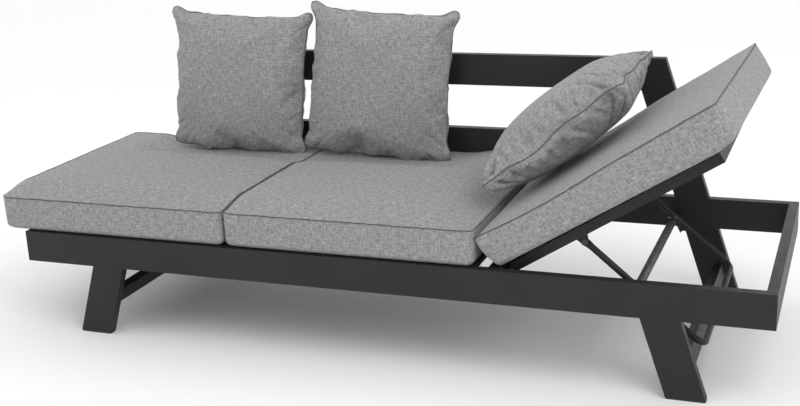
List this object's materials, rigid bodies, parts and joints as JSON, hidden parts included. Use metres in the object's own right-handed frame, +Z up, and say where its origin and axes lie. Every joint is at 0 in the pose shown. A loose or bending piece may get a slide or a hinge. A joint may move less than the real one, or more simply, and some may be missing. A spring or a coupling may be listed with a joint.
{
  "type": "garden lounger",
  "caption": "Garden lounger with a flat metal frame, splayed legs, a back rail on one side, a head section that tilts on a ratchet prop, thick cushions and loose pillows.",
  "frame": {"origin": "on the floor, under the middle of the whole lounger's box at rest", "axes": "+X along the length to the head end, +Y across the depth to the back rails, +Z up"},
  "size_m": [2.062, 0.725, 0.8295],
  "materials": {
    "frame_metal": "anthracite powder coat, satin",
    "slat_metal": "anthracite powder coat, satin",
    "prop_metal": "anthracite powder coat, satin, rubbed at the notches",
    "steel_fasteners": "blackened stainless steel",
    "connector_metal": "mill finish bar",
    "dark_plastic": "moulded, fine grain",
    "cushion_fabric": "heathered grey outdoor weave",
    "pillow_fabric": "heathered grey outdoor weave"
  },
  "bodies": {
    "base_frame": {"catch_bar": "prop_metal", "centre_beam": "frame_metal", "frame_screws": "steel_fasteners", "front_hinge_bracket": "frame_metal", "front_left_foot": "dark_plastic", "front_left_leg": "frame_metal", "front_left_leg_connector": "connector_metal", "front_rail": "frame_metal", "front_right_foot": "dark_plastic", "front_right_leg": "frame_metal", "front_right_leg_connector": "connector_metal", "front_slat_ledge": "slat_metal", "hinge_beam": "frame_metal", "hinge_bolts": "steel_fasteners", "hinge_nuts": "steel_fasteners", "left_back_post": "frame_metal", "left_end_rail": "frame_metal", "left_leg_stretcher": "frame_metal", "left_post_cap": "dark_plastic", "lower_back_rail": "frame_metal", "rear_hinge_bracket": "frame_metal", "rear_left_foot": "dark_plastic", "rear_left_leg": "frame_metal", "rear_left_leg_connector": "connector_metal", "rear_rail": "frame_metal", "rear_right_foot": "dark_plastic", "rear_right_leg": "frame_metal", "rear_right_leg_connector": "connector_metal", "rear_slat_ledge": "slat_metal", "right_back_post": "frame_metal", "right_end_rail": "frame_metal", "right_leg_stretcher": "frame_metal", "right_post_cap": "dark_plastic", "seat_slats": "slat_metal", "upper_back_rail": "frame_metal"},
    "head_section": {"head_front_tube": "frame_metal", "head_rear_tube": "frame_metal", "head_lower_tube": "frame_metal", "head_upper_tube": "frame_metal", "head_slat_1": "slat_metal", "head_slat_2": "slat_metal", "head_slat_3": "slat_metal", "head_slat_4": "slat_metal", "head_slat_5": "slat_metal", "head_slat_6": "slat_metal", "front_hinge_plate": "frame_metal", "rear_hinge_plate": "frame_metal", "front_prop_lug": "prop_metal", "rear_prop_lug": "prop_metal", "prop_rivets": "steel_fasteners", "head_cushion": "cushion_fabric"},
    "prop": {"prop_frame": "prop_metal", "front_ratchet_plate": "prop_metal", "rear_ratchet_plate": "prop_metal"},
    "seat_cushions": {"left_seat_cushion": "cushion_fabric", "middle_seat_cushion": "cushion_fabric", "left_pillow": "pillow_fabric", "middle_pillow": "pillow_fabric"},
    "resting_pillow": {"head_pillow": "pillow_fabric"}
  },
  "joints": [
    {"name": "head_hinge", "type": "hinge", "parent": "base_frame", "child": "head_section", "pos_m": [0.3878, 0, 0.266], "axis": [0, -1, 0], "range_deg": [0, 38.3]},
    {"name": "prop_hinge", "type": "hinge", "parent": "head_section", "child": "prop", "pos_m": [0.58568, 0, 0.34543], "axis": [0, -1, 0], "range_deg": [-37, 0]},
    {"name": "cushion_slide", "type": "slide", "parent": "base_frame", "child": "seat_cushions", "axis": [-1, 0, 0], "range_m": [0, 0.042]},
    {"name": "pillow_slide", "type": "slide", "parent": "head_section", "child": "resting_pillow", "axis": [0.8508, 0, 0.5255], "range_m": [0, 0.045]}
  ],
  "couplings": [
    {"joint": "prop_hinge", "follows": "head_hinge", "ratio": -0.96},
    {"joint": "cushion_slide", "follows": "head_hinge", "m_per_rad": 0.062},
    {"joint": "pillow_slide", "follows": "head_hinge", "m_per_rad": 0.066}
  ]
}
